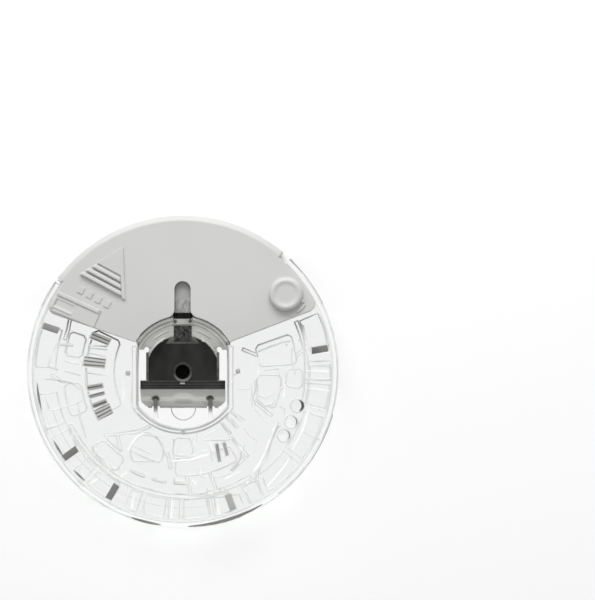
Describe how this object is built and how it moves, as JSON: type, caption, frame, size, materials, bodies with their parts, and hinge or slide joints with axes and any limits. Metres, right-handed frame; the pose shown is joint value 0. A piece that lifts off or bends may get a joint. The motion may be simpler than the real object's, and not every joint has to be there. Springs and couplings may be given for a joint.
{
  "type": "microfluidic test disc cartridge",
  "caption": "Clear round disc cartridge with moulded channels and reading cells, a swing cover on one side and a foil-sealed diluent container in its centre pocket.",
  "frame": {"origin": "disc axis at the plane that the feet stand on", "axes": "+Z along the disc axis, out of the upper face; +Y from the axis towards the middle of the cover"},
  "size_m": [0.062, 0.062, 0.0093],
  "materials": {
    "clear_plastic": "clear moulded plastic",
    "cover_plastic": "light grey moulded plastic with a soft sheen",
    "container_plastic": "translucent grey moulded plastic",
    "foil": "dark reflective sealing foil",
    "reagent": "dried powder pellet",
    "liquid": "clear liquid"
  },
  "bodies": {
    "disc": {"base_disc": "clear_plastic", "lid_disc": "clear_plastic", "reagent_bead_1": "reagent", "reagent_bead_2": "reagent", "reagent_bead_3": "reagent"},
    "cover": {"swing_cover": "cover_plastic"},
    "container": {"diluent_container": "container_plastic", "sealing_foil": "foil", "diluent": "liquid"}
  },
  "joints": [
    {"name": "cover_swing", "type": "hinge", "parent": "disc", "child": "cover", "pos_m": [0.02042, 0.01544, 0.004], "axis": [0, 0, 1], "range_deg": [-80, 0]},
    {"name": "container_push", "type": "slide", "parent": "disc", "child": "container", "axis": [0, -1, 0], "range_m": [0, 0.0012], "deforming": ["sealing_foil", "diluent"]}
  ]
}
